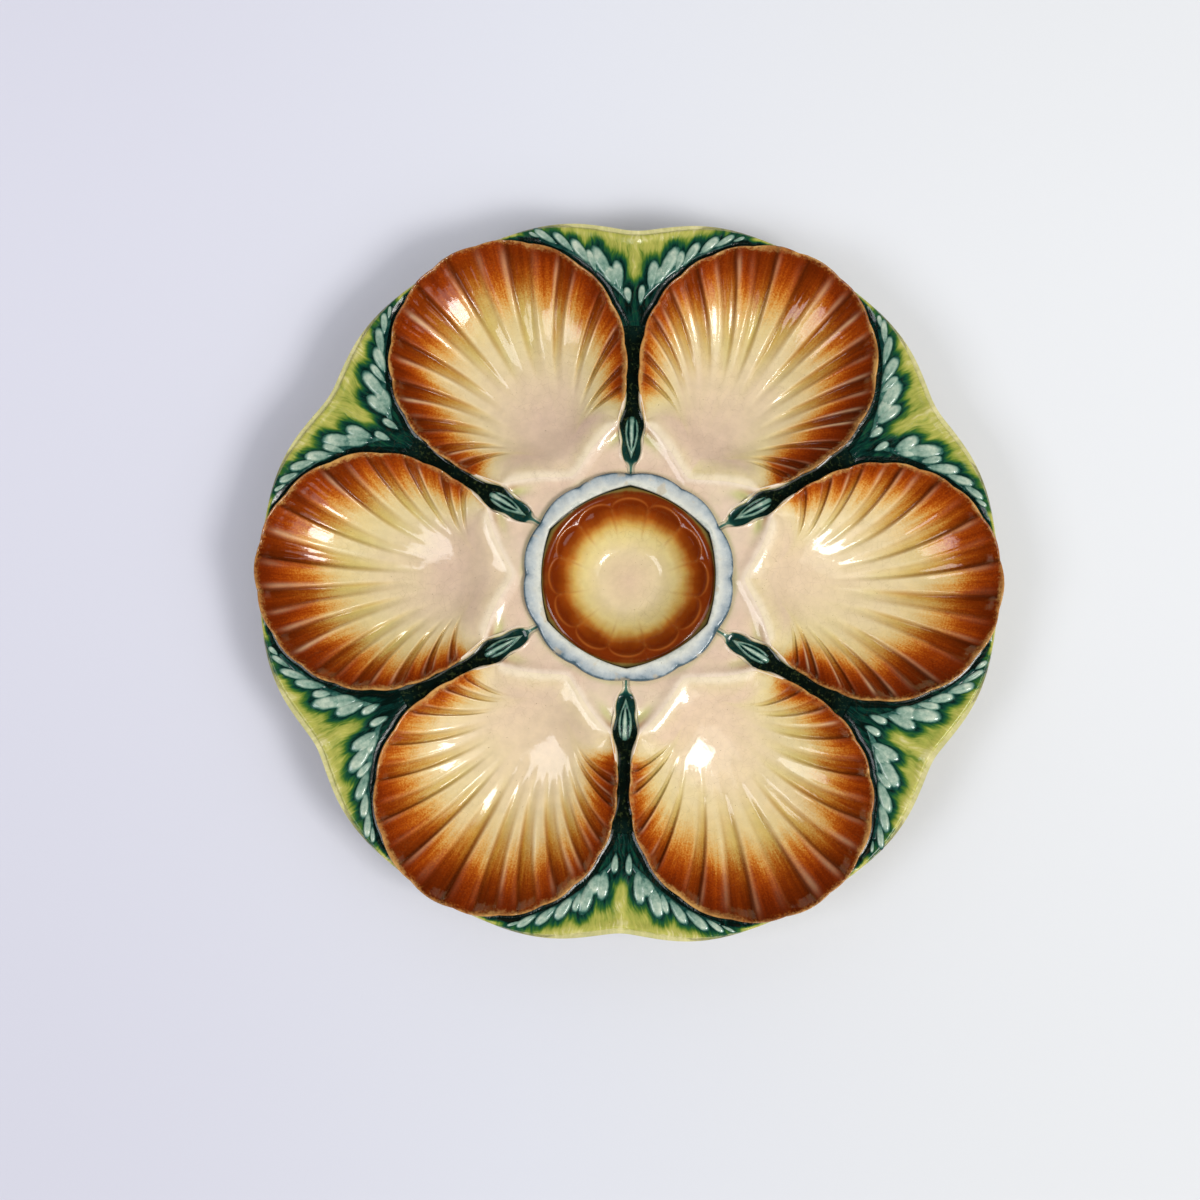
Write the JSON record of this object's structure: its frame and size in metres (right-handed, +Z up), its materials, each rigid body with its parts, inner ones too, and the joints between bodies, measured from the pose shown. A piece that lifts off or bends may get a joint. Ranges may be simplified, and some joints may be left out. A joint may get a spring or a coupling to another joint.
{
  "type": "oyster plate",
  "caption": "Round relief-moulded serving plate with deep ribbed scallop-shell wells round a fluted sauce cup, on a leafy green ground with a lobed rim.",
  "frame": {"origin": "on the table under the plate's centre, in the plane of the foot ring's lower face", "axes": "+Z up through the centre of the cup, +X out through the middle of shell 1"},
  "size_m": [0.2472, 0.2352, 0.027],
  "materials": {
    "amber_glaze": "glossy lead glaze, rust brown at the shell margins running to amber and cream in the middle",
    "cream_glaze": "glossy cream glaze with fine crazing",
    "pale_blue_glaze": "glossy mottled grey-blue glaze",
    "dark_green_glaze": "glossy, pooled blackish-green glaze",
    "leaf_glaze": "glossy grey-green glaze, dark teal where it pools",
    "green_glaze": "glossy yellow-green glaze, dark teal beside the shells",
    "bare_body": "unglazed buff earthenware, wiped for the kiln"
  },
  "bodies": {
    "root": {"foot_ring": "bare_body", "centre_cup": "amber_glaze", "cup_collar": "pale_blue_glaze", "shell_well_1": "amber_glaze", "shell_well_2": "amber_glaze", "shell_well_3": "amber_glaze", "shell_well_4": "amber_glaze", "shell_well_5": "amber_glaze", "shell_well_6": "amber_glaze", "shell_hinge_1": "cream_glaze", "shell_hinge_2": "cream_glaze", "shell_hinge_3": "cream_glaze", "shell_hinge_4": "cream_glaze", "shell_hinge_5": "cream_glaze", "shell_hinge_6": "cream_glaze", "stem_channel_1": "dark_green_glaze", "stem_channel_2": "dark_green_glaze", "stem_channel_3": "dark_green_glaze", "stem_channel_4": "dark_green_glaze", "stem_channel_5": "dark_green_glaze", "stem_channel_6": "dark_green_glaze", "bud_1": "leaf_glaze", "bud_2": "leaf_glaze", "bud_3": "leaf_glaze", "bud_4": "leaf_glaze", "bud_5": "leaf_glaze", "bud_6": "leaf_glaze", "ground_panel_1": "green_glaze", "ground_panel_2": "green_glaze", "ground_panel_3": "green_glaze", "ground_panel_4": "green_glaze", "ground_panel_5": "green_glaze", "ground_panel_6": "green_glaze", "leaf_left_1": "leaf_glaze", "leaf_left_2": "leaf_glaze", "leaf_left_3": "leaf_glaze", "leaf_left_4": "leaf_glaze", "leaf_left_5": "leaf_glaze", "leaf_left_6": "leaf_glaze", "leaf_right_1": "leaf_glaze", "leaf_right_2": "leaf_glaze", "leaf_right_3": "leaf_glaze", "leaf_right_4": "leaf_glaze", "leaf_right_5": "leaf_glaze", "leaf_right_6": "leaf_glaze"}
  },
  "joints": []
}
